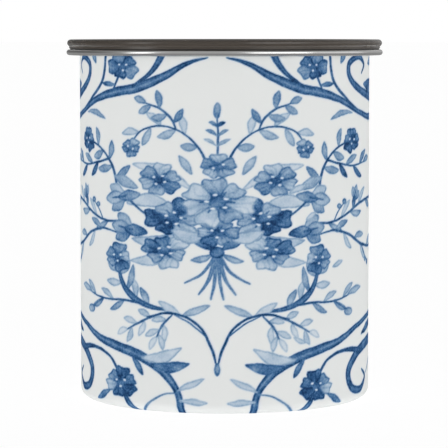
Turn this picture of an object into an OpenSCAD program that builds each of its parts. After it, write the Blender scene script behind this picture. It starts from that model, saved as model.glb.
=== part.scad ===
// Round double-walled canister with a polished rim and a lift-off plug lid.
// Millimetres. The origin is the centre of the base, +Z is up and the axis of the tin is Z.

/* [Tin] */
// Outer diameter of the printed shell
shell_d = 98; // [90:1:110]
// Height of the closed tin
tin_h = 121; // [105:1:140]
// Thickness of the steel sheet
sheet_t = 0.5; // [0.4:0.1:0.6]
// Outer radius of the rounded foot
foot_r = 3.4; // [2:0.2:4]
// Air between the shell and the liner
wall_gap = 1.4; // [1:0.1:2]

/* [Rim] */
// How far the hemmed rim stands out past the shell
rim_overhang = 4.5; // [3.6:0.1:5]
// Height of the hemmed rim
rim_h = 1.9; // [1.5:0.05:2]
// Depth of the neck inside the mouth
neck_h = 8.4; // [8:0.2:12]

/* [Lid] */
// Thickness of the lid cover at its edge
cover_h = 3; // [2.8:0.1:5]
// Radius of the bead round the cover's top edge
cover_bead_r = 1.2; // [0.8:0.1:1.3]
// How far the cover's widest line stays inside the rim
cover_inset = 0.25; // [0.1:0.05:1]
// Depth that the plug reaches below the cover
plug_depth = 11.8; // [11:0.2:16]
// Number of sealing lips
lip_count = 3; // [2:1:3]

/* [Hidden] */
$fn = 128;

// Radii of the can
shell_r = shell_d / 2;
liner_r = shell_r - sheet_t - wall_gap;
liner_in_r = liner_r - sheet_t;
mouth_r = liner_in_r - sheet_t;
rim_r = shell_r + rim_overhang;

// The flange turned up inside the foot, and the pan pressed into it
foot_land = 1.6;
foot_flange_r = shell_r - foot_r - foot_land;
foot_flange_h = 2.6;
pan_r = foot_flange_r - sheet_t;
pan_z = 1.2;
pan_step_r = pan_r * 0.8;
pan_step_h = 0.6;

// Heights of the rim stack, from the top down
seal_t = 0.35;
seat_gap = 0.02;
cover_z = tin_h - cover_h;
seal_z = cover_z - seal_t;
rim_top = seal_z - seat_gap;
rim_z = rim_top - rim_h;
liner_top = rim_top - sheet_t;
shell_top = liner_top - sheet_t;
rim_bend_r = 0.8;
hem_gap = 0.1;

// Floor of the liner
floor_z = 3.8;
floor_corner_r = 4;
floor_step_r = liner_in_r * 0.8;
floor_step_h = 0.8;

// Lid
cover_r = rim_r - cover_inset;
cover_wall_r = cover_r - 0.65;
dish_r = cover_r - 3.2;
dish_t = 0.5;
plug_r = mouth_r - 1.7;
plug_wall = 1.6;
plug_socket = 1.5;
plug_z = cover_z - plug_depth;
disc_t = 1.2;
disc_r = plug_r - plug_wall / 2;
seal_edge_r = cover_wall_r - 0.3;
seal_sleeve_t = 0.6;
seal_sleeve_h = 9.2;
lip_r = 0.8;
lip_gap = 0.1;
lip_pitch = 2.4;
lip_z = rim_top - 2.4;

// Half-section of a cylinder with a rounded foot, standing on z = 0
module footed_section(r, h, corner) {
    square([r - corner, h]);
    translate([0, corner]) square([r, h - corner]);
    translate([r - corner, corner]) circle(corner);
}

// The sliver between a square corner at the origin and an arc that rounds it off
module corner_sliver(r) {
    difference() {
        translate([-0.1, -0.1]) square(r + 0.1);
        translate([r, r]) circle(r);
    }
}

// Half-section of a ring, from radius r0 to r1 and height z0 to z1
module ring_section(r0, r1, z0, z1) {
    translate([r0, z0]) square([r1 - r0, z1 - z0]);
}

// Outer can: a straight wall, a rounded foot and a flange turned up inside it
module printed_shell() {
    color("whitesmoke") rotate_extrude() {
        difference() {
            footed_section(shell_r, shell_top, foot_r);
            translate([0, sheet_t]) footed_section(shell_r - sheet_t, shell_top, foot_r - sheet_t);
            square([foot_flange_r, 2 * sheet_t]);
        }
        difference() {
            ring_section(foot_flange_r - sheet_t, foot_flange_r + sheet_t, 0, foot_flange_h);
            ring_section(foot_flange_r, foot_flange_r + 2 * sheet_t, sheet_t, foot_flange_h + 1);
            translate([foot_flange_r - sheet_t, 0]) corner_sliver(sheet_t * 0.9);
        }
    }
}

// Bottom pan: a shallow cup with a stepped centre, pressed into the foot
module base_pan() {
    color("silver") rotate_extrude() {
        ring_section(pan_r - sheet_t, pan_r, pan_z, foot_flange_h);
        ring_section(pan_step_r - sheet_t, pan_r, pan_z, pan_z + sheet_t);
        ring_section(pan_step_r - sheet_t, pan_step_r, pan_z, pan_z + pan_step_h + sheet_t);
        ring_section(0, pan_step_r, pan_z + pan_step_h, pan_z + pan_step_h + sheet_t);
    }
}

// Inner can: a deep cup that hangs by its flange on the shell's top edge
module steel_liner() {
    color("lightsteelblue") rotate_extrude() {
        difference() {
            translate([0, floor_z]) footed_section(liner_r, liner_top - floor_z, floor_corner_r);
            translate([0, floor_z + sheet_t])
                footed_section(liner_in_r, liner_top, floor_corner_r - sheet_t);
            ring_section(-1, floor_step_r - sheet_t, floor_z - 1, floor_z + floor_step_h);
        }
        ring_section(floor_step_r - sheet_t, floor_step_r, floor_z, floor_z + floor_step_h + sheet_t);
        ring_section(0, floor_step_r, floor_z + floor_step_h, floor_z + floor_step_h + sheet_t);
        ring_section(liner_in_r, shell_r, shell_top, liner_top);
    }
}

// Polished rim: a neck lining the mouth, a flat seat, and an edge folded back under itself
module rim_collar() {
    hem_r = rim_h / 2;
    hem_x = rim_r - hem_r;
    color("gainsboro") rotate_extrude() {
        difference() {
            union() {
                ring_section(mouth_r, mouth_r + sheet_t, rim_top - neck_h, rim_top);
                ring_section(mouth_r, hem_x, rim_top - sheet_t, rim_top);
            }
            translate([mouth_r, rim_top]) mirror([0, 1]) corner_sliver(rim_bend_r);
        }
        ring_section(shell_r + hem_gap, hem_x, rim_z, rim_z + sheet_t);
        difference() {
            translate([hem_x, rim_z + hem_r]) circle(hem_r);
            translate([hem_x, rim_z + hem_r]) circle(hem_r - sheet_t);
            ring_section(hem_x - rim_h, hem_x, rim_z - 1, rim_top + 1);
        }
    }
}

// Lid cover: a gloss disc with a bead round its top edge and a socket underneath
module lid_cover() {
    color("dimgray") rotate_extrude() {
        difference() {
            union() {
                ring_section(0, cover_wall_r, cover_z, tin_h - cover_bead_r);
                ring_section(0, cover_r - cover_bead_r, cover_z, tin_h);
                translate([cover_r - cover_bead_r, tin_h - cover_bead_r]) circle(cover_bead_r);
            }
            ring_section(0, plug_r, cover_z - 1, cover_z + plug_socket);
            polygon([
                [0, tin_h - dish_t],
                [dish_r - 2 * dish_t, tin_h - dish_t],
                [dish_r + 2 * dish_t, tin_h + dish_t],
                [0, tin_h + dish_t],
            ]);
        }
    }
}

// Plug: a ring that stands in the cover's socket and reaches down into the mouth
module lid_plug() {
    color("slategray") rotate_extrude() difference() {
        ring_section(plug_r - plug_wall, plug_r, plug_z, cover_z + plug_socket);
        ring_section(0, disc_r, plug_z - 1, plug_z + disc_t);
    }
}

// Disc that closes the bottom of the plug, let into a step in its wall
module plug_disc() {
    color("lightgray") translate([0, 0, plug_z]) cylinder(r = disc_r, h = disc_t);
}

// Seal: a flat flange under the cover and a sleeve with lips round the plug
module seal_ring() {
    color("black") rotate_extrude() difference() {
        union() {
            ring_section(plug_r, seal_edge_r, seal_z, cover_z);
            ring_section(plug_r, plug_r + seal_sleeve_t, seal_z - seal_sleeve_h, cover_z);
            for (i = [0:lip_count - 1])
                translate([mouth_r - lip_gap - lip_r, lip_z - i * lip_pitch]) circle(lip_r);
        }
        ring_section(0, plug_r, 0, tin_h);
    }
}

printed_shell();
base_pan();
steel_liner();
rim_collar();
lid_cover();
lid_plug();
plug_disc();
seal_ring();
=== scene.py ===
"""Looks of the spice tin: the painted print, the materials, the floor, the lights and the camera."""
import math

import bpy
import numpy as np
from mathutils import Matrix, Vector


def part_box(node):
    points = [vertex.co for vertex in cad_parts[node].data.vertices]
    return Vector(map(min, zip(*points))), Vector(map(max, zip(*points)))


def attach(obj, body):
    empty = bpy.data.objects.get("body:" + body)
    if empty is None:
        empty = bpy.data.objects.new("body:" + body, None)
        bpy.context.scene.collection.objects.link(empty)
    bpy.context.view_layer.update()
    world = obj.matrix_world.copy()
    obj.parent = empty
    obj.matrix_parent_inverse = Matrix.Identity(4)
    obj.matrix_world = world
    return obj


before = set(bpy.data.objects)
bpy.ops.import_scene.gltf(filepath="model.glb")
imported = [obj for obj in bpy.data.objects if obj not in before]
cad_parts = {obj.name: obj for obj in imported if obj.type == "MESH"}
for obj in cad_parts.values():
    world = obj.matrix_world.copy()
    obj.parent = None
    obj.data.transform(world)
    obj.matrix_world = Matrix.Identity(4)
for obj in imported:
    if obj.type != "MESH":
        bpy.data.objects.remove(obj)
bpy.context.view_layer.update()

MM = 0.001


def widest(node):
    """Largest distance of a node's surface from the tin's axis, in metres."""
    return max(math.hypot(v.co.x, v.co.y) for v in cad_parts[node].data.vertices)


# The shell's radius and the heights of its ends
SHELL_R = widest("printed_shell")
SHELL_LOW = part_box("printed_shell")[0].z
SHELL_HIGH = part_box("printed_shell")[1].z

# The print, in mm on the developed wall: s is sideways from the axis of the motif and v is up from the base.
# Ink is a density, from 0 for bare enamel to 1 for the darkest blue. cv is the canvas that a mark is made on.
CANVAS_STEP = 0.1  # between the canvas's points
HALF_MOTIF = 77.0  # half of the motif's width, which goes twice round the tin
CANVAS_SPARE = 4.0  # canvas past the sides of the motif
PRINT_LOW = -3.5  # v of the canvas's lower and upper edges
PRINT_HIGH = 118.0
FAR = 9.0  # further from a mark's edge than any point that the mark colours
INK_LIMIT = 1.15  # the most ink at a point
STRAYS = ((0.13, 4.5), (0.05, 1.3))  # how far marks stray from their lines, and over what length
POOL_LENGTH = 5.0  # size of the patches where ink pools
WASH_POOLING = 0.22  # how much the ink of a wash varies there, and of a stroke
STROKE_POOLING = 0.08
WASH_EDGE = 1.6  # how much stronger a wash's edge line is than a stroke's
VEINS = 15  # lines that fan out round a flower
BLEED = 0.17  # strength of the pale bleed round a mark
EDGE_DEPTH = 0.25  # how far inside a mark its dark edge line lies
EDGE_WIDTH = 0.3
CLOSED_SPACING = 0.7  # between the points of a smoothed outline
OPEN_SPACING = 0.5  # between the points of a smoothed stroke
FLATNESS = 1.5  # how much wider than tall a flower is drawn
LEAF_GROWTH = 1.14
# Outlines: a leaf's as shares of its length and width, and a petal's as shares of its angle and reach
LEAF = ((0, 0), (0.28, 0.4), (0.62, 0.5), (1, 0), (0.66, -0.5), (0.3, -0.42))
PETAL = ((-0.42, 0.2), (-0.56, 0.72), (-0.3, 0.98), (0, 0.9), (0.32, 1), (0.54, 0.7), (0.4, 0.2))


def smoothstep(low, high, x):
    """0 up to low, 1 from high on, and a smooth rise between them."""
    t = np.clip((x - low) / (high - low), 0, 1)
    return t * t * (3 - 2 * t)


def waves(a, b, length, seed):
    """Smooth waves of about that length over two coordinates, from about -1 to 1."""
    total = 0
    for k in range(4):
        turn = seed * 1.7 + k * 1.9
        pitch = 2 * math.pi / (length * (1 + 0.23 * k))
        total = total + np.sin((a * math.cos(turn) + b * math.sin(turn)) * pitch + seed * 5.1 + k * 2.3)
    return total / 2.6


class Canvas:
    """Ink on a stretch of the wall from s = -reach_left to HALF_MOTIF. Marks go by strayed coordinates."""

    def __init__(self, reach_left):
        self.s = np.arange(-reach_left - CANVAS_SPARE, HALF_MOTIF + CANVAS_SPARE, CANVAS_STEP)
        self.v = np.arange(PRINT_LOW, PRINT_HIGH, CANVAS_STEP)
        self.true_s, self.true_v = np.meshgrid(self.s, self.v)
        self.at_s = self.true_s + self.stray(1)
        self.at_v = self.true_v + self.stray(2)
        self.pool = waves(self.true_s, self.true_v, POOL_LENGTH, 3)
        self.ink = np.zeros(self.true_s.shape)

    def stray(self, seed):
        """How far marks stray from their lines at each point, as a hand's do."""
        return sum(far * waves(self.true_s, self.true_v, length, seed + 4 * k)
                   for k, (far, length) in enumerate(STRAYS))

    def window(self, low, high):
        """Rows and columns of the canvas between two opposite corners."""
        columns = np.searchsorted(self.s, (low[0], high[0]))
        rows = np.searchsorted(self.v, (low[1], high[1]))
        return slice(*rows), slice(*columns)

    def averaged(self, reach):
        """The ink with each point averaged over a square that reaches that many points to each side."""
        width = 2 * reach + 1
        ink = np.pad(self.ink, reach, mode="edge")
        total = np.pad(ink.cumsum(0).cumsum(1), ((1, 0), (1, 0)))
        return (total[width:, width:] - total[:-width, width:] - total[width:, :-width]
                + total[:-width, :-width]) / width**2

    def softened(self):
        """The ink as a mesh can hold it, with a pale bleed round each mark."""
        return np.maximum(self.averaged(1), BLEED * self.averaged(8))

    def lay(self, window, cover, value):
        """Covers the ink in a window with that value, as far as cover says."""
        part = self.ink[window]
        part += (np.clip(value, 0, INK_LIMIT) - part) * cover


def curve(a, b, c, d, t):
    """Point at t from 0 to 1 on the Catmull-Rom curve from b to c."""
    return 0.5 * (2 * b + (c - a) * t + (2 * a - 5 * b + 4 * c - d) * t**2 + (3 * b - a - 3 * c + d) * t**3)


def closed_path(points):
    """Points of a smooth closed curve through the given ones."""
    p = np.array(points, float)
    path = []
    for i in range(len(p)):
        a, b, c, d = p[i - 1], p[i], p[(i + 1) % len(p)], p[(i + 2) % len(p)]
        steps = max(2, int(np.hypot(*(c - b)) / CLOSED_SPACING))
        path += [curve(a, b, c, d, k / steps) for k in range(steps)]
    return np.array(path)


def open_path(points):
    """Points of a smooth curve through the given ones, and their place from 0 to len(points) - 1."""
    p = np.array([points[0], *points, points[-1]], float)
    path, place = [], []
    for i in range(len(points) - 1):
        steps = max(2, int(np.hypot(*(p[i + 2] - p[i + 1])) / OPEN_SPACING))
        for k in range(steps):
            path.append(curve(*p[i : i + 4], k / steps))
            place.append(i + k / steps)
    return np.array([*path, points[-1]]), np.array([*place, len(points) - 1])


def oval(s, v, half_s, half_v, count=8, first=0.0):
    """Points round an ellipse, the first of them first radians up from its right end."""
    turns = [first + 2 * math.pi * k / count for k in range(count)]
    return [(s + half_s * math.cos(turn), v + half_v * math.sin(turn)) for turn in turns]


def depth_inside(path, s, v):
    """Distance of each point from a closed line, positive inside it."""
    gap = np.full(s.shape, FAR)
    odd = np.zeros(s.shape, bool)
    for (s0, v0), (s1, v1) in zip(path, np.roll(path, -1, 0)):
        ds, dv = s1 - s0, v1 - v0
        t = np.clip(((s - s0) * ds + (v - v0) * dv) / (ds * ds + dv * dv), 0, 1)
        gap = np.minimum(gap, np.hypot(s - s0 - t * ds, v - v0 - t * dv))
        if dv:
            odd ^= ((v0 <= v) != (v1 <= v)) & (s < s0 + (v - v0) * ds / dv)
    return np.where(odd, gap, -gap)


def edge_line(inside):
    """Strength of the dark line that ink leaves near a mark's edge, at that depth inside the mark."""
    return np.exp(-(((inside - EDGE_DEPTH) / EDGE_WIDTH) ** 2))


def wash(cv, ink, outline, rim=0.16, deep=(), veins=None, soft=0.34):
    """A washed patch inside the smooth closed line through the outline. rim darkens its edge. Each deep is
    (s, v, reach, ink) where more ink gathers. veins is (s, v, ink) of lines that fan from a point."""
    path = closed_path(outline)
    window = cv.window(path.min(0) - 0.8, path.max(0) + 0.8)
    s, v, pool = cv.at_s[window], cv.at_v[window], cv.pool[window]
    inside = depth_inside(path, s, v)
    value = ink * (1 + WASH_POOLING * pool) + WASH_EDGE * rim * edge_line(inside)
    for deep_s, deep_v, reach, more in deep:
        value = value + more * np.exp(-(((s - deep_s) / FLATNESS) ** 2 + (v - deep_v) ** 2) / reach**2)
    if veins:
        fan = np.arctan2(v - veins[1], (s - veins[0]) / FLATNESS)
        value = value + veins[2] * (0.5 + 0.5 * np.cos(VEINS * fan + 3.5 * pool)) ** 3
    cv.lay(window, smoothstep(-soft / 2, soft / 2, inside), value)


def brush(cv, points, widths, ink, rim=0.2, streak=0.0, soft=0.28):
    """One drawn stroke through the points, as wide along its run as widths says. streak leaves lighter
    lines along it."""
    path, place = open_path(points)
    half_widths = np.interp(place, np.linspace(0, len(points) - 1, len(widths)), widths) / 2
    # For each point: its depth inside the stroke, its place across it from -1 to 1, and the run up to it
    depth = np.full(cv.ink.shape, -FAR)
    side = np.zeros(cv.ink.shape)
    run = np.zeros(cv.ink.shape)
    travelled = 0.0
    for a, b, half_a, half_b in zip(path[:-1], path[1:], half_widths[:-1], half_widths[1:]):
        step = b - a
        length = max(float(np.hypot(*step)), 1e-6)
        reach = max(half_a, half_b) + 0.6
        window = cv.window(np.minimum(a, b) - reach, np.maximum(a, b) + reach)
        ds = 0.5 * (cv.at_s[window] + cv.true_s[window]) - a[0]
        dv = 0.5 * (cv.at_v[window] + cv.true_v[window]) - a[1]
        t = np.clip((ds * step[0] + dv * step[1]) / length**2, 0, 1)
        gap_s, gap_v = ds - t * step[0], dv - t * step[1]
        half = half_a + (half_b - half_a) * t
        inside = half - np.hypot(gap_s, gap_v)
        nearer = inside > depth[window]
        depth[window][nearer] = inside[nearer]
        lateral = (gap_v * step[0] - gap_s * step[1]) / length / np.maximum(half, 0.05)
        side[window][nearer] = np.clip(lateral, -1, 1)[nearer]
        run[window][nearer] = (travelled + t * length)[nearer]
        travelled += length
    window = cv.window(path.min(0) - 4, path.max(0) + 4)
    inside = depth[window]
    lines = 0.5 + 0.5 * np.cos(5.5 * side[window] + 0.9 * np.sin(run[window] / 11) + 0.6)
    value = ink * (1 + STROKE_POOLING * cv.pool[window]) + rim * edge_line(inside)
    value = value - streak * lines**2 * smoothstep(0.3, 1.2, inside)
    cv.lay(window, smoothstep(-soft / 2, soft / 2, inside), value)


def dots(cv, places, width):
    """Small bare spots of that width."""
    for s, v in places:
        wash(cv, 0.02, oval(s, v, width / 2, 0.38), 0.04, soft=0.4)


def stamens(cv, heart, tips, width):
    """Dark dabs from the heart of a flower out to each tip, as wide as that at the heart."""
    for s, v in tips:
        half_way = (0.5 * (s + heart[0]) + 0.12, 0.5 * (v + heart[1]) + 0.2)
        brush(cv, [heart, half_way, (s, v)], [width, 0.6 * width, 0.3 * width], 0.84, rim=0.05)


def leaf(cv, root, tip, width, ink=0.42, rim=0.13, bend=0.0):
    """A pointed leaf from root to tip. bend bows it to its left by that share of its length."""
    along = np.subtract(tip, root)
    length = np.hypot(*along)
    across = np.array([-along[1], along[0]]) / length
    outline = []
    for share, side in LEAF:
        bow = 4 * bend * share * (1 - share) * length + side * width
        outline.append(root + share * along + across * bow)
    wash(cv, ink, outline, rim)


def leaves_along(cv, points, leaves, ink, width):
    """Leaves on a stem. Each is (place, length, turn): place from 0 to len(points) - 1 along the stem, and
    turn the degrees between the leaf and the stem, to its left if positive."""
    path, place = open_path(points)
    for number, (at, length, turn) in enumerate(leaves):
        k = min(int(np.searchsorted(place, at)), len(path) - 2)
        heading = math.atan2(*(path[k + 1] - path[k])[::-1]) + math.radians(turn)
        reach = LEAF_GROWTH * length
        tip = (path[k][0] + reach * math.cos(heading), path[k][1] + reach * math.sin(heading))
        tone = ink * (1 + 0.35 * math.sin(2.4 * number + at))
        leaf(cv, path[k], tip, width, tone, bend=0.06 * math.copysign(1, turn))


def around(s, v, reach, count, first):
    """Points round the heart of a flower, as flat as the flower is drawn."""
    return oval(s, v, FLATNESS * reach, reach, count, first)


def blossom(cv, s, v, reach, inks, turn=90, heart=0.88, spots=4):
    """An open flower seen a little from above: a petal for each ink, with a darker throat, round a heart with
    bare spots. The first petal points turn degrees up from the right."""
    pitch = 2 * math.pi / len(inks)
    throat = (s, v, 0.48 * reach, 0.34)
    for number, ink in enumerate(inks):
        middle = math.radians(turn) + pitch * number
        grown = reach * (1 + 0.12 * math.sin(3 * number + s))
        outline = []
        for share, out in PETAL:
            angle = middle + share * pitch
            outline.append((s + FLATNESS * grown * out * math.cos(angle), v + grown * out * math.sin(angle)))
        wash(cv, ink, outline, 0.2, deep=[throat], veins=(s, v, 0.12))
    stamens(cv, (s, v), around(s, v, 0.46 * reach, 6, 0), 0.2 * reach)
    wash(cv, heart, oval(s, v, 0.36 * reach, 0.24 * reach), 0.06)
    dots(cv, around(s, v, 0.28 * reach, spots, 0.5), 0.16 * reach + 0.4)


def bell(cv, root, tip, width, ink):
    """A flower in profile: a calyx that opens into three lobes on the way from root to tip."""
    along = np.subtract(tip, root)
    across = np.array([-along[1], along[0]]) / np.hypot(*along)
    mouth = root + 0.4 * along
    for side, tone in ((1, 0.8), (-1, 1.15), (0, 1)):
        lobe_tip = tip + side * 0.55 * width * across - 0.16 * abs(side) * along
        leaf(cv, mouth, lobe_tip, 0.62 * width, tone * ink, 0.16)
    leaf(cv, root, root + 0.62 * along, 0.5 * width, min(1.5 * ink, 0.85), 0.14)
    brush(cv, [mouth, root + 0.7 * along, root + 0.8 * along], [0.9, 0.6, 0.3], 0.72)


def top_scrolls(cv):
    """Tapering scrolls that fall away from the axis under the rim, with a flower and leaves above them."""
    falling = [(81, 95.4), (70, 95), (60, 97), (49, 101), (38, 103.6),
               (28, 105.2), (18, 108.8), (10, 113), (3, 115)]
    brush(cv, falling, [2.4, 2.2, 1.7, 2.2, 3, 3.3, 2.7, 1.5, 0.3], 0.88, rim=0.24, streak=0.24)
    curled = [(81, 101.6), (70, 102), (60, 104.6), (54, 108.6),
              (54, 113), (60, 115), (64.4, 112.6), (62.4, 109.6)]
    brush(cv, curled, [3.2, 3, 2.4, 2.3, 2.2, 1.9, 1.3, 0.5], 0.92, streak=0.16)
    brush(cv, [(58, 98.2), (49, 103.4), (44, 108.4), (42.4, 117)], [0.4, 1.1, 1.2, 1.1], 0.84)
    brush(cv, [(30, 105.4), (22, 110.6), (17.4, 117.6)], [0.6, 1.7, 2.6], 0.9, streak=0.18)
    leaf(cv, (81, 108), (64, 106), 4.6, 0.9, 0.1, 0.1)
    leaf(cv, (81, 114.8), (69, 112.8), 3, 0.7, 0.14)
    leaf(cv, (48.6, 112.8), (51.4, 117.4), 2.4, 0.5)
    leaf(cv, (56, 96.8), (42.6, 94.8), 2, 0.4, 0.13, -0.08)
    blossom(cv, 34, 112, 4.6, (0.5, 0.8, 0.42, 0.86, 0.66), 70, 0.92, 3)
    brush(cv, [(39, 103.8), (37, 107), (35, 110)], [0.6, 0.9, 0.9], 0.82)
    leaf(cv, (37.6, 106), (44.6, 106.6), 1.7, 0.66)


def finial(cv):
    """Upright bud with paired leaves on the axis, above the bouquet."""
    brush(cv, [(0, 82), (0.3, 88), (0, 95.6)], [0.6, 0.8, 0.5], 0.72)
    for low, reach, ink in ((86.4, 4.6, 0.3), (89.8, 3.8, 0.52), (92.8, 2.8, 0.76)):
        for side in (1, -1):
            leaf(cv, (0, low), (reach * side, low + 0.55 * reach), 1.3, ink, 0.12, 0.1 * side)
    wash(cv, 0.42, oval(0, 98, 1.3, 2.7), 0.16, deep=[(0, 96.6, 0.9, 0.3)])


def upper_arch(cv):
    """Branch that rises beside the axis, arches over and hangs a small flower, with leaves and a twig."""
    arch = [(3, 80.6), (6.6, 86.8), (12, 91.2), (19, 93), (26, 91.4), (30, 87.6)]
    leaves = [(0.9, 5.2, -48), (1.7, 6, 44), (2.2, 6.4, -40), (2.9, 6.4, 34), (3.5, 6, -46), (4.1, 6.6, 36)]
    leaves_along(cv, arch, leaves, 0.3, 2.7)
    brush(cv, arch, [0.9, 0.7, 0.55, 0.5, 0.55, 0.7], 0.85)
    blossom(cv, 30.6, 85.8, 3, (0.45, 0.36, 0.56, 0.42, 0.5), 50, 0.8, 2)
    twig = [(13.4, 91.8), (15.4, 95.6), (19.6, 98.8), (24.6, 100.2)]
    leaves = [(0.6, 5, 62), (1.3, 5.6, -52), (1.9, 5.4, 50), (2.5, 5, -40), (2.95, 4.6, 8)]
    leaves_along(cv, twig, leaves, 0.52, 2.6)
    brush(cv, twig, [0.5, 0.8, 0.7, 0.4], 0.78)


def side_sprig(cv):
    """Curved sprig high at the side, with a flower at its end and a twig of darker leaves."""
    stem = [(37, 73.6), (38.6, 78.6), (42.4, 83), (48, 86.2), (53, 87.2)]
    leaves = [(0.5, 7, 74), (1.1, 7.4, -62), (1.6, 5.8, 58), (2.3, 6, -50), (2.8, 5.6, 52)]
    leaves_along(cv, stem, leaves, 0.54, 2.8)
    brush(cv, stem, [1, 1.1, 0.8, 0.6, 0.5], 0.88)
    blossom(cv, 55.4, 87.6, 3.9, (0.6, 0.78, 0.5, 0.86, 0.66), 20, 0.9, 3)
    twig = [(41, 81.8), (48, 80.4), (56, 79.4), (64, 80.2)]
    leaves = [(0.9, 6, -34), (1.4, 7, 30), (2, 6.6, -32), (2.5, 6.4, 30), (2.95, 6, 4)]
    leaves_along(cv, twig, leaves, 0.62, 2.3)
    brush(cv, twig, [0.8, 0.7, 0.6, 0.4], 0.84)


def side_spray(cv):
    """Two slim branches that reach round the side at mid height, with leaves, a bud and berries."""
    upper = [(34, 62), (42, 61.4), (51, 63.4), (60, 66.6), (70, 67.8), (81, 67.2)]
    leaves = [(0.9, 7, -24), (1.7, 7, 30), (2.3, 7.4, -26), (2.9, 7, 28), (3.6, 7, -24), (4.2, 8, 22)]
    leaves_along(cv, upper, leaves, 0.38, 2.3)
    brush(cv, upper, [0.6, 0.7, 0.8, 0.9, 0.8, 0.7], 0.82)
    lower = [(36, 57.6), (44, 58.8), (53, 57), (61, 53.4), (70, 51.6), (81, 52)]
    leaves = [(1.1, 7, 26), (1.6, 7, -34), (2.4, 7, 32), (3, 7.4, -28), (3.7, 7.6, 26), (4.3, 7, -24)]
    leaves_along(cv, lower, leaves, 0.38, 2.3)
    brush(cv, lower, [0.4, 0.7, 0.9, 1, 0.8, 0.7], 0.82)
    bell(cv, (55.6, 65), (58.6, 73), 4.6, 0.44)
    for s, v in ((47.6, 66.4), (50.4, 68), (66.4, 47.6), (69.2, 46.4)):
        wash(cv, 0.6, oval(s, v, 1.3, 0.95), 0.18)
    brush(cv, [(44.6, 62), (46.4, 64.4), (50, 67.4)], [0.5, 0.5, 0.4], 0.74)
    brush(cv, [(62.6, 52.8), (64.6, 49.8), (69, 46.8)], [0.6, 0.5, 0.4], 0.74)


def bouquet_side(cv):
    """Flowers, leaves and stalks of one side of the bouquet."""
    leaf(cv, (8, 72.6), (30, 80.4), 4, 0.2, 0.14, 0.08)
    leaf(cv, (14, 66.6), (32.4, 67.6), 4.4, 0.24, 0.16, 0.1)
    leaf(cv, (10, 54.4), (31, 49), 3.8, 0.22, 0.14, -0.08)
    leaf(cv, (12, 58.6), (30.4, 56.2), 3.8, 0.3, 0.14, -0.1)
    leaf(cv, (8, 77.4), (12.6, 83.6), 2.8, 0.36, 0.14)
    brush(cv, [(20, 62), (27, 65.8), (33, 70.4), (37.2, 74)], [0.6, 0.7, 0.8, 0.9], 0.72)
    bell(cv, (26.4, 70.8), (42.4, 68.6), 7.4, 0.4)
    bell(cv, (23.6, 58.2), (39.6, 60.4), 7.6, 0.5)
    leaf(cv, (27.4, 72.6), (38.4, 76.6), 3.6, 0.4)
    blossom(cv, 19.4, 75.6, 5.4, (0.24, 0.34, 0.62, 0.44, 0.3, 0.5), 100)
    blossom(cv, 17.4, 52.6, 5.6, (0.66, 0.2, 0.3, 0.26, 0.4, 0.7), 80)
    blossom(cv, 14.6, 63.2, 6.6, (0.7, 0.36, 0.26, 0.8, 0.88, 0.3), 120, 0.95, 5)


def bouquet_heart(cv):
    """The stalks and tie of the bouquet, and the flowers on its axis, with the largest in the middle."""
    for side in (1, -1):
        for tip_s, tip_v, width in ((10.6, 42.4, 1), (6, 38.8, 1.3), (2, 37.2, 1.2)):
            middle = (0.42 * tip_s * side, 0.5 * (tip_v + 50.6) - 0.6)
            brush(cv, [(0.5 * side, 52), middle, (tip_s * side, tip_v)], [1.2, width, 0.6], 0.56)
        leaf(cv, (1.4 * side, 53.2), (8.6 * side, 56.6), 3.2, 0.7, 0.16, 0.08 * side)
        leaf(cv, (1.4 * side, 52), (8.8 * side, 49.6), 2.2, 0.5, 0.16, -0.08 * side)
        leaf(cv, (3 * side, 57.6), (15.4 * side, 59.4), 4.2, 0.3, 0.14, -0.1 * side)
    blossom(cv, 0, 58.8, 4.8, (0.42, 0.62, 0.36, 0.66, 0.4, 0.56), 60, 0.92, 3)
    wash(cv, 0.84, oval(0, 52.4, 2.5, 1.9), 0.14)
    blossom(cv, 0.4, 80.2, 4.2, (0.32, 0.4, 0.36, 0.3, 0.42), 90, 0.78, 2)
    blossom(cv, 0, 68.6, 8.2, (0.4, 0.18, 0.26, 0.18, 0.42, 0.2, 0.3), 96, 0.84, 5)


def foot_sprig(cv):
    """Low sprig with a flower at its top, slim leaves, a berry and a twig."""
    stem = [(17, 33.4), (24, 34.6), (30.6, 37.6), (34.6, 42), (36.4, 47.4)]
    leaves = [(0.9, 6, 44), (1.6, 6.4, 52), (2.3, 8, 62), (2.9, 7, -56), (3.3, 6, 60), (3.5, 5.8, -48)]
    leaves_along(cv, stem, leaves, 0.4, 2.7)
    brush(cv, stem, [0.8, 1.7, 2.4, 1.8, 0.9], 0.84, streak=0.18)
    blossom(cv, 36.8, 49.8, 4.6, (0.5, 0.56, 0.3, 0.62, 0.46), 30, 0.86, 3)
    twig = [(25, 35), (34, 35.8), (43, 35.6), (52, 36.8)]
    leaves = [(0.9, 7, -28), (1.5, 7, 26), (2.1, 7, -28), (2.6, 7, 26), (2.95, 9, 4)]
    leaves_along(cv, twig, leaves, 0.45, 2.3)
    brush(cv, twig, [0.8, 0.7, 0.6, 0.5], 0.84)
    wash(cv, 0.5, oval(52.6, 31.6, 2.6, 1.5), 0.18)
    brush(cv, [(44, 35.6), (48, 34), (51, 32.4)], [0.4, 0.5, 0.5], 0.7)


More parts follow.
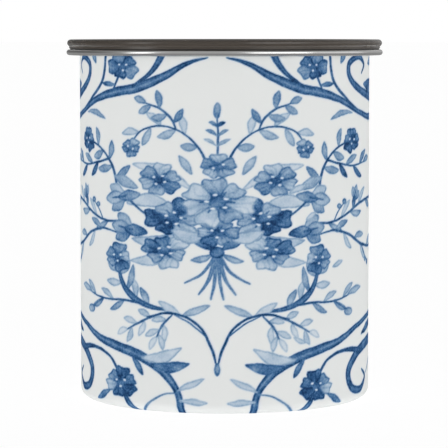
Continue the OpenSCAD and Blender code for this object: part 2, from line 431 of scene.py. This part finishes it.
def lower_arch(cv):
    """Arch that turns down to a bud on the axis, with sprays of pale leaves under it."""
    arch = [(24, 30.8), (17, 32.4), (10.6, 31.4), (5.4, 28), (2.6, 23), (1, 19), (0.3, 16.2)]
    leaf(cv, (12, 31.6), (2.2, 35.2), 2.6, 0.34)
    leaf(cv, (12, 32), (20, 36.2), 2.8, 0.2)
    leaves = [(0.5, 5, 42), (0.8, 5.4, -42), (1.3, 5.4, 40), (1.6, 5.2, -40), (1.95, 5, 4)]
    for spray in ([(20, 31.8), (26, 29.4), (32, 26.4)], [(15, 31.8), (18.4, 28.4), (20.4, 24.6)]):
        leaves_along(cv, spray, leaves, 0.22, 2.4)
        brush(cv, spray, [0.5, 0.8, 0.5], 0.74)
    brush(cv, arch, [0.4, 0.8, 0.75, 0.8, 0.85, 0.8, 0.4], 0.92)
    brush(cv, [(14, 31.9), (8.4, 29), (4, 25.4)], [0.35, 0.5, 0.4], 0.85)
    wash(cv, 0.56, oval(0, 14.4, 1, 2.2), 0.18)


def bottom_scrolls(cv):
    """Great scroll that runs down to the foot, one that curls over beside it, and a flower between them."""
    great = [(81, 28), (70, 28.2), (58, 26), (47, 22.4), (37, 20.4),
             (27, 18), (19, 13.8), (13.6, 7.6), (12, 1), (12.6, -3.4)]
    brush(cv, great, [2, 1.8, 1.7, 2.4, 3.2, 3.4, 3, 2.2, 2.4, 2.6], 0.87, rim=0.24, streak=0.25)
    curled = [(81, 19), (70, 19.6), (59, 17.2), (52.6, 11.8), (54.6, 6), (61.4, 4.6), (66, 8), (62.6, 11)]
    brush(cv, curled, [3.4, 3.6, 3.2, 3, 2.8, 2.3, 1.5, 0.5], 0.94, streak=0.12)
    brush(cv, [(60, 17.8), (50, 19), (41, 16.8), (36.4, 12)], [2.4, 1.1, 0.9, 1.2], 0.92)
    brush(cv, [(81, 12.4), (74, 12.6), (67.6, 9)], [0.9, 1, 0.5], 0.7)
    leaf(cv, (81, 24.6), (62, 22.6), 2.6, 0.86, 0.1, -0.08)
    leaf(cv, (26.6, 17.4), (11.6, 21.2), 4, 0.26, 0.14, 0.1)
    leaf(cv, (23, 15.4), (9, 16.2), 3.4, 0.74, 0.12, 0.08)
    leaf(cv, (30, 17.6), (25.6, 11.6), 2.4, 0.8, 0.12)
    blossom(cv, 35.4, 8.6, 5.2, (0.5, 0.8, 0.72, 0.86, 0.78, 0.3), 40, 0.92, 3)
    brush(cv, [(34, 5.4), (31.4, 1.6), (28, -3.4)], [1, 2.4, 2.6], 0.86, streak=0.15)
    leaf(cv, (40.4, 5.6), (48.6, 1.8), 2.4, 0.7)
    brush(cv, [(13.4, 6.6), (19, 5.4), (24.6, 1.6), (27.4, -3)], [0.5, 0.6, 0.9, 1], 0.52)
    leaf(cv, (13.4, 7.2), (4, 11.4), 2.2, 0.24, 0.12)
    leaf(cv, (12.6, 4), (3, 3.4), 2.2, 0.26, 0.12)


def right_leaves(cv):
    """A few leaves on the right side only, so that the print isn't an exact mirror image."""
    leaf(cv, (23.6, 71.4), (31.4, 74.4), 2.2, 0.26)
    leaf(cv, (30.6, 62.6), (35.4, 65.2), 2, 0.2)
    leaf(cv, (43.4, 47), (49.4, 48.6), 1.9, 0.3)
    leaf(cv, (25.4, 24.8), (31, 22.6), 1.8, 0.2)


SIDE_PARTS = (top_scrolls, side_spray, side_sprig, foot_sprig,
              lower_arch, bottom_scrolls, upper_arch, bouquet_side)
MIDDLE_PARTS = (right_leaves, finial, bouquet_heart)


def paint_motif():
    """One whole motif: the side parts, mirrored, and then the parts that lie across the axis."""
    half = Canvas(0)
    for part in SIDE_PARTS:
        part(half)
    whole = Canvas(HALF_MOTIF)
    columns = np.round((np.abs(whole.s) - half.s[0]) / CANVAS_STEP).astype(int)
    whole.ink = half.ink[:, np.minimum(columns, len(half.s) - 1)]
    for part in MIDDLE_PARTS:
        part(whole)
    whole.ink = whole.softened()
    return whole


# The printed skin: dense panels that carry the ink at their vertices, just outside the shell
FOOT_R = 3.4 * MM  # outer radius of the shell's rounded foot
SKIN_LIFT = 0.02 * MM
SKIN_BACK = 0.03 * MM
PANELS = ("front", "front_right", "back_right", "back", "back_left", "front_left")
PANEL_COLUMNS = 171
ROW_STEP = 0.3 * MM
FOOT_ROWS = 16
BACK_STRIDE = 4  # the skin's back has one row for so many of the foot's
FOOT_TURN = math.radians(82)  # how far the skin follows the foot round
# Where the motif lies, in mm on the wall, and how far its right side is pulled in and dropped
AXIS_SHIFT = -2.4
PRINT_LIFT = 0.34
RIGHT_PULL_LOW = 1.4
RIGHT_PULL_HIGH = 3.0
RIGHT_DROP = 0.8


def skin_profile(lift):
    """Radius, height, developed height and downward turn of each row of the skin, from the foot up."""
    rows = []
    for turn in np.linspace(FOOT_TURN, 0, FOOT_ROWS, endpoint=False):
        rows.append((SHELL_R - FOOT_R + (FOOT_R + lift) * math.cos(turn),
                     SHELL_LOW + FOOT_R - (FOOT_R + lift) * math.sin(turn),
                     SHELL_LOW + FOOT_R - FOOT_R * turn, turn))
    straight = int((SHELL_HIGH - SHELL_LOW - FOOT_R) / ROW_STEP)
    for z in np.linspace(SHELL_LOW + FOOT_R, SHELL_HIGH, straight + 1):
        rows.append((SHELL_R + lift, z, z, 0))
    return np.array(rows)


def ink_at(canvas, angle, height):
    """Ink of the whole wall: the motif twice round, its right side looser and the back one less exact."""
    angle = np.mod(angle + math.pi, 2 * math.pi) - math.pi
    behind = smoothstep(1.3, 2.2, np.abs(angle))
    u = 2 * HALF_MOTIF / math.pi * angle
    v = height / MM - PRINT_LIFT
    u = u + behind * (0.6 * np.sin(3 * angle + v / 17 + 1) + 0.4 * np.sin(8 * angle - v / 11))
    v = v + behind * (0.6 * np.sin(5 * angle + v / 23 + 2) + 0.3 * np.sin(11 * angle + v / 9))
    s = np.mod(u - AXIS_SHIFT + HALF_MOTIF, 2 * HALF_MOTIF) - HALF_MOTIF
    right = np.maximum(s, 0) / HALF_MOTIF
    climb = np.clip(v / PRINT_HIGH, 0, 1)
    pull = RIGHT_PULL_LOW + (RIGHT_PULL_HIGH - RIGHT_PULL_LOW) * climb
    s = s + pull * np.sin(math.pi * np.clip(1.4 * right - 0.4, 0, 1)) ** 2
    v = v + RIGHT_DROP * (1 - climb) * np.sin(math.pi * right)
    column = (s - canvas.s[0]) / CANVAS_STEP
    row = np.clip((v - canvas.v[0]) / CANVAS_STEP, 1, len(canvas.v) - 3)
    c0, r0 = np.floor(column).astype(int), np.floor(row).astype(int)
    fc, fr = column - c0, row - r0
    ink = canvas.ink
    return (ink[r0, c0] * (1 - fc) * (1 - fr) + ink[r0, c0 + 1] * fc * (1 - fr)
            + ink[r0 + 1, c0] * (1 - fc) * fr + ink[r0 + 1, c0 + 1] * fc * fr)


def new_object(name, points, faces, material, normals=None):
    """A mesh object, shaded smooth along the normals of its points if they are given."""
    mesh = bpy.data.meshes.new(name)
    mesh.from_pydata([tuple(p) for p in points], [], faces)
    mesh.materials.append(material)
    mesh.update()
    if normals is not None:
        mesh.shade_smooth()
        mesh.normals_split_custom_set_from_vertices(normals)
    obj = bpy.data.objects.new(name, mesh)
    bpy.context.scene.collection.objects.link(obj)
    return obj


def quads(rows, columns, offset, outward):
    """Faces of a grid of points, wound to face outward or inward."""
    faces = []
    for row in range(rows - 1):
        for column in range(columns - 1):
            low = offset + row * columns + column
            face = (low, low + 1, low + columns + 1, low + columns)
            faces.append(face if outward else face[::-1])
    return faces


def skin_layer(rows, angles, out):
    """Points and normals of one layer of the skin. out is 1 for its face and -1 for its back."""
    r, a = np.meshgrid(rows[:, 0], angles, indexing="ij")
    z, turn = (np.repeat(rows[:, k : k + 1], len(angles), axis=1) for k in (1, 3))
    level = out * np.cos(turn)
    points = np.stack([r * np.sin(a), -r * np.cos(a), z], -1)
    normals = np.stack([level * np.sin(a), -level * np.cos(a), -out * np.sin(turn)], -1)
    return points.reshape(-1, 3), normals.reshape(-1, 3)


def slab_faces(face_rows, back_rows, columns):
    """Faces of a closed slab: the grids of its face and its back, and the edges that join them."""
    offset = face_rows * columns
    faces = quads(face_rows, columns, 0, True) + quads(back_rows, columns, offset, False)
    top_face = offset - columns
    top_back = offset + (back_rows - 1) * columns
    for c in range(columns - 1):
        faces.append((c, offset + c, offset + c + 1, c + 1))
        faces.append((top_face + c, top_face + c + 1, top_back + c + 1, top_back + c))
    for c, flip in ((0, False), (columns - 1, True)):
        face_side = [row * columns + c for row in range(face_rows)]
        back_side = [offset + row * columns + c for row in range(back_rows)]
        ring = face_side + back_side[::-1]
        faces.append(tuple(ring if flip else ring[::-1]))
    return faces


def print_panel(name, first, canvas, material):
    """One closed slab of the skin from that column on: a dense printed face, a plain back and thin edges."""
    count = PANEL_COLUMNS * len(PANELS)
    angles = 2 * math.pi * (first + np.arange(PANEL_COLUMNS + 1) - PANEL_COLUMNS / 2) / count
    face = skin_profile(SKIN_LIFT)
    back = skin_profile(-SKIN_BACK)[[*range(0, FOOT_ROWS + 1, BACK_STRIDE), -1]]
    face_points, face_normals = skin_layer(face, angles, 1)
    back_points, back_normals = skin_layer(back, angles, -1)
    obj = new_object(name, np.concatenate([face_points, back_points]),
                     slab_faces(len(face), len(back), len(angles)), material,
                     np.concatenate([face_normals, back_normals]))
    a, height = np.meshgrid(angles, face[:, 2])
    ink = np.zeros(len(obj.data.vertices))
    ink[: len(face_points)] = ink_at(canvas, a, height).reshape(-1)
    obj.data.attributes.new("ink", "FLOAT", "POINT").data.foreach_set("value", ink.astype(np.float32))
    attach(obj, "can")


# Materials
def linear(red, green, blue):
    """A colour given as 0 to 255 in sRGB, as the shader wants it."""
    return tuple((c / 255 / 12.92) if c < 10 else ((c / 255 + 0.055) / 1.055) ** 2.4
                 for c in (red, green, blue)) + (1,)


class Nodes:
    """A node tree and short ways to add and join its nodes."""

    def __init__(self, tree):
        self.nodes = tree.nodes
        self.links = tree.links

    def add(self, kind, settings=None, **inputs):
        """A node of that kind. Each input is given by name, with _ for a space."""
        node = self.nodes.new("ShaderNode" + kind)
        for key, value in (settings or {}).items():
            setattr(node, key, value)
        for key, value in inputs.items():
            self.feed(node.inputs[key.replace("_", " ")], value)
        return node

    def feed(self, socket, value):
        """Links a socket to another, or sets its value."""
        if isinstance(value, bpy.types.NodeSocket):
            self.links.new(value, socket)
        else:
            socket.default_value = value

    def mix(self, factor, a, b):
        """The number a where factor is 0 and b where it is 1."""
        node = self.nodes.new("ShaderNodeMix")
        for socket, value in zip((node.inputs[0], node.inputs[2], node.inputs[3]), (factor, a, b)):
            self.feed(socket, value)
        return node.outputs[0]

    def math(self, operation, a, b=0.0, clamp=False):
        """The result of that operation on a and b."""
        node = self.nodes.new("ShaderNodeMath")
        node.operation = operation
        node.use_clamp = clamp
        self.feed(node.inputs[0], a)
        self.feed(node.inputs[1], b)
        return node.outputs[0]

    def weighted(self, base, *parts):
        """base plus each value of the parts, each (value, weight)."""
        total = base
        for value, weight in parts:
            total = self.math("ADD", self.math("MULTIPLY", value, weight), total)
        return total

    def noise(self, vector, scale, detail=2.0, rough=0.5):
        """Cloudy noise from 0 to 1, with about scale patches to a unit of the vector."""
        node = self.add("TexNoise", Vector=vector, Scale=scale, Detail=detail, Roughness=rough)
        return node.outputs["Fac"]

    def ramp(self, value, stops):
        """The colour at that place between the stops, each (place, colour)."""
        node = self.nodes.new("ShaderNodeValToRGB")
        ramp = node.color_ramp
        while len(ramp.elements) < len(stops):
            ramp.elements.new(0.5)
        for element, (place, colour) in zip(ramp.elements, stops):
            element.position = place
            element.color = colour
        self.feed(node.inputs["Fac"], value)
        return node.outputs["Color"]

    def blend(self, factor, a, b):
        """The colour a where factor is 0 and b where it is 1."""
        node = self.nodes.new("ShaderNodeMix")
        node.data_type = "RGBA"
        self.feed(node.inputs[0], factor)
        self.feed(node.inputs[6], a)
        self.feed(node.inputs[7], b)
        return node.outputs[2]


class Shader(Nodes):
    """A material with a principled surface, its settings given by name."""

    def __init__(self, name, **settings):
        self.material = bpy.data.materials.new(name)
        self.material.use_nodes = True
        super().__init__(self.material.node_tree)
        self.surface = self.nodes["Principled BSDF"]
        for key, value in settings.items():
            self.surface.inputs[key.replace("_", " ")].default_value = value

    def place(self):
        """Coordinates on the object, in metres."""
        return self.add("TexCoord").outputs["Object"]

    def from_axis(self):
        """Distance from the tin's axis, angle round it and height."""
        x, y, z = self.add("SeparateXYZ", Vector=self.place()).outputs
        radius = self.math("SQRT", self.math("ADD", self.math("MULTIPLY", x, x), self.math("MULTIPLY", y, y)))
        return radius, self.math("ARCTAN2", x, y), z

    def turned_place(self, around, across, along):
        """Coordinates that follow the tin: angle, radius and height, each scaled."""
        radius, angle, z = self.from_axis()
        joined = self.add("CombineXYZ", X=self.math("MULTIPLY", angle, around),
                          Y=self.math("MULTIPLY", radius, across), Z=self.math("MULTIPLY", z, along))
        return joined.outputs[0]

    def paint(self, colour, roughness):
        """Gives the surface its colour and roughness."""
        self.feed(self.surface.inputs["Base Color"], colour)
        self.feed(self.surface.inputs["Roughness"], roughness)

    def bump(self, height, distance):
        """Roughens the surface by that height, which is worth distance metres."""
        node = self.add("Bump", Height=height, Distance=distance)
        self.links.new(node.outputs["Normal"], self.surface.inputs["Normal"])


ENAMEL = linear(225, 227, 226)
# Colour of the enamel by the density of the ink on it
INKS = (
    (0.0, ENAMEL),
    (0.12, linear(202, 212, 220)),
    (0.28, linear(163, 184, 204)),
    (0.45, linear(122, 151, 181)),
    (0.62, linear(80, 119, 160)),
    (0.80, linear(48, 88, 134)),
    (1.0, linear(26, 56, 94)),
)
ENAMEL_COAT = {"Specular_IOR_Level": 0.0, "Coat_Weight": 0.12, "Coat_Roughness": 0.2}
# Radius of the lid's sunken top, as in the CAD, and how soon inside it the satin finish is full
DISH_R = widest("lid_cover") - 3.2 * MM
DISH_BLEND = 1 * MM


def printed_enamel():
    """Varnished white enamel with blue ink that pools and grains like watercolour."""
    k = Shader("printed_enamel", **ENAMEL_COAT)
    place = k.place()
    ink = k.add("Attribute", {"attribute_name": "ink"}).outputs["Fac"]
    grain = k.noise(place, 1500, 3, 0.7)
    pool = k.noise(place, 420, 2, 0.5)
    uneven = k.weighted(0.28, (grain, 0.9), (pool, 0.5))
    density = k.math("DIVIDE", k.math("MULTIPLY", ink, uneven), INK_LIMIT, clamp=True)
    k.paint(k.ramp(density, INKS), k.weighted(0.26, (k.noise(place, 160, 2), 0.08)))
    k.bump(k.noise(place, 900, 2), 0.02 * MM)
    return k.material


def plain_enamel():
    """The same enamel without a print, on the hidden inside and the foot of the shell."""
    k = Shader("plain_enamel", **ENAMEL_COAT)
    speck = k.noise(k.place(), 700, 3)
    dull = k.math("MULTIPLY", speck, 0.3)
    k.paint(k.blend(dull, ENAMEL, linear(206, 208, 208)), k.weighted(0.3, (speck, 0.1)))
    k.bump(speck, 0.02 * MM)
    return k.material


def brushed_steel():
    """Food-side stainless sheet with fine turned lines round the axis."""
    k = Shader("brushed_steel", Metallic=1.0, Anisotropic=0.6)
    lines = k.noise(k.turned_place(1.5, 9000, 9000), 1.0, 4, 0.7)
    wide = k.noise(k.turned_place(3, 500, 500), 1.0, 2)
    k.paint(k.blend(lines, linear(212, 212, 210), linear(232, 232, 230)),
            k.weighted(0.22, (lines, 0.14), (wide, 0.06)))
    k.bump(lines, 0.004 * MM)
    return k.material


def polished_rim():
    """Bright rolled rim with faint drawing lines and finger haze."""
    k = Shader("polished_rim", Metallic=1.0)
    lines = k.noise(k.turned_place(2, 6000, 6000), 1.0, 3, 0.6)
    haze = k.noise(k.place(), 60, 3, 0.6)
    k.paint(k.blend(lines, linear(205, 205, 204), linear(222, 222, 221)),
            k.weighted(0.15, (haze, 0.08), (lines, 0.03)))
    k.bump(lines, 0.003 * MM)
    return k.material


def dark_gloss():
    """Dark warm grey moulded gloss with a faint flow pattern, and satin grain on the lid's sunken top."""
    k = Shader("dark_gloss", IOR=1.5)
    place = k.place()
    flow = k.noise(place, 40, 3, 0.6)
    fine = k.noise(place, 2200, 2, 0.6)
    radius = k.from_axis()[0]
    satin = k.add("MapRange", Value=radius, From_Min=DISH_R, From_Max=DISH_R - DISH_BLEND).outputs["Result"]
    k.paint(k.blend(flow, linear(64, 57, 50), linear(72, 65, 58)),
            k.weighted(0.16, (flow, 0.1), (fine, 0.06), (satin, 0.42)))
    k.bump(fine, 0.003 * MM)
    return k.material


def dark_matte():
    """Dark moulded plastic with a fine spark-eroded grain."""
    k = Shader("dark_matte", IOR=1.46)
    grain = k.noise(k.place(), 2400, 4, 0.7)
    k.paint(k.blend(grain, linear(62, 59, 56), linear(74, 71, 68)), k.weighted(0.46, (grain, 0.16)))
    k.bump(grain, 0.04 * MM)
    return k.material


def soft_seal():
    """Black silicone, slightly dusty."""
    k = Shader("soft_seal", IOR=1.42)
    dust = k.noise(k.place(), 900, 4, 0.7)
    k.paint(k.blend(dust, linear(22, 21, 20), linear(44, 42, 40)), k.weighted(0.5, (dust, 0.2)))
    k.bump(dust, 0.01 * MM)
    return k.material


def dress(node, material):
    """Gives a CAD node its material."""
    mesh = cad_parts[node].data
    mesh.materials.clear()
    mesh.materials.append(material)


# Stage: the camera, the floor, the world and the lights
CAMERA_DISTANCE = 17.58 * SHELL_R
CAMERA_HEIGHT = 2.52 * SHELL_R
CAMERA_SIDE = -0.2 * MM
CAMERA_PITCH = 4.33  # degrees down
LENS = 203.7
SENSOR = 36
FLOOR_REACH = 30
FLOOR_SEEN = 0.95  # glow of the floor as the camera and paint see it, and as gloss mirrors it
FLOOR_MIRRORED = 0.28
LIGHT_DISTANCE = 1.2
LIGHT_AIM = 0.06  # height on the tin's axis that the lights face
SKY_HIGH = 0.3  # light of the surround on paint, from above and from low all round
SKY_LOW = 5.2
MIRRORED = 0.48  # light of the surround that gloss mirrors
MIRRORED_BACK_LEFT = 0.16  # the same at the back left, which is darker
MIRRORED_AGAIN = 2.2  # the same in gloss that is itself seen in gloss, as inside the can
BACK_LEFT = (-0.75, 0.66, 0)


def make_camera():
    """The photograph's viewpoint: a long lens, a little above the lid and looking slightly down."""
    data = bpy.data.cameras.new("camera")
    data.lens = LENS
    data.sensor_width = SENSOR
    camera = bpy.data.objects.new("camera", data)
    camera.location = (CAMERA_SIDE, -CAMERA_DISTANCE, CAMERA_HEIGHT)
    camera.rotation_euler = (math.radians(90 - CAMERA_PITCH), 0, 0)
    bpy.context.scene.collection.objects.link(camera)
    bpy.context.scene.camera = camera


def strength_by_ray(k, seen, on_paint, in_gloss):
    """Strength of a surround as the camera sees it, as it lights matt paint and as gloss mirrors it."""
    path = k.add("LightPath").outputs
    return k.mix(path["Is Camera Ray"], k.mix(path["Is Glossy Ray"], on_paint, in_gloss), seen)


def make_floor():
    """A wide white floor that shows only a trace of the tin's shadow."""
    k = Shader("floor", Roughness=0.9, Specular_IOR_Level=0, Emission_Color=(1, 1, 1, 1))
    k.surface.inputs["Base Color"].default_value = (0.1, 0.1, 0.1, 1)
    k.feed(k.surface.inputs["Emission Strength"], strength_by_ray(k, FLOOR_SEEN, FLOOR_SEEN, FLOOR_MIRRORED))
    k.material.cycles.emission_sampling = "NONE"
    corners = [(x * FLOOR_REACH, y * FLOOR_REACH, 0) for x, y in ((-1, -1), (1, -1), (1, 1), (-1, 1))]
    new_object("floor", corners, [(0, 1, 2, 3)], k.material)


def make_world():
    """A white studio. Its light on paint comes mostly from low all round, so that the rim throws no shade."""
    world = bpy.data.worlds.new("studio")
    world.use_nodes = True
    k = Nodes(world.node_tree)
    towards = k.add("TexCoord").outputs["Generated"]
    up = k.add("SeparateXYZ", Vector=towards).outputs["Z"]
    low_light = k.add("MapRange", {"interpolation_type": "SMOOTHSTEP"}, Value=up, From_Min=0.02, From_Max=0.2,
                      To_Min=SKY_LOW, To_Max=SKY_HIGH).outputs["Result"]
    back_left = k.add("VectorMath", {"operation": "DOT_PRODUCT"}, Vector=towards)
    back_left.inputs[1].default_value = BACK_LEFT
    mirrored = k.add("MapRange", Value=back_left.outputs["Value"], From_Min=0.4, From_Max=0.9,
                     To_Min=MIRRORED, To_Max=MIRRORED_BACK_LEFT).outputs["Result"]
    again = k.math("GREATER_THAN", k.add("LightPath").outputs["Glossy Depth"], 1.5)
    mirrored = k.mix(again, mirrored, MIRRORED_AGAIN)
    background = k.nodes["Background"].inputs
    k.feed(background["Color"], (1, 1, 1, 1))
    k.feed(background["Strength"], strength_by_ray(k, 1.0, low_light, mirrored))
    world.cycles.sampling_method = "NONE"
    bpy.context.scene.world = world


def softbox(name, azimuth, height, size, power):
    """A soft light facing the tin, which only gloss shows. Azimuth 0 is the camera's side, and a positive one
    is to its right."""
    turn = math.radians(azimuth)
    data = bpy.data.lights.new(name, "AREA")
    data.shape = "RECTANGLE"
    data.size, data.size_y = size
    data.energy = power
    light = bpy.data.objects.new(name, data)
    light.location = (LIGHT_DISTANCE * math.sin(turn), -LIGHT_DISTANCE * math.cos(turn), height)
    aim = np.array([0, 0, LIGHT_AIM]) - np.array(light.location)
    level = math.hypot(aim[0], aim[1])
    light.rotation_euler = (math.radians(90) + math.atan2(aim[2], level), 0, math.atan2(-aim[0], aim[1]))
    light.visible_camera = False
    light.visible_diffuse = False
    bpy.context.scene.collection.objects.link(light)


make_camera()
make_floor()
make_world()
softbox("right_box", 41, 0.52, (1.05, 0.75), 4.8)
softbox("left_box", -62.5, 0.35, (0.42, 0.9), 2.1)
softbox("side_box", 94, 0.4, (1.1, 0.8), 1.2)
bpy.context.scene.view_settings.view_transform = "Standard"

dress("printed_shell", plain_enamel())
dress("rim_collar", polished_rim())
dress("lid_cover", dark_gloss())
dress("seal_ring", soft_seal())
steel = brushed_steel()
dress("steel_liner", steel)
dress("base_pan", steel)
matte = dark_matte()
dress("lid_plug", matte)
dress("plug_disc", matte)

canvas = paint_motif()
printed = printed_enamel()
for number, side in enumerate(PANELS):
    print_panel("print_" + side, number * PANEL_COLUMNS, canvas, printed)
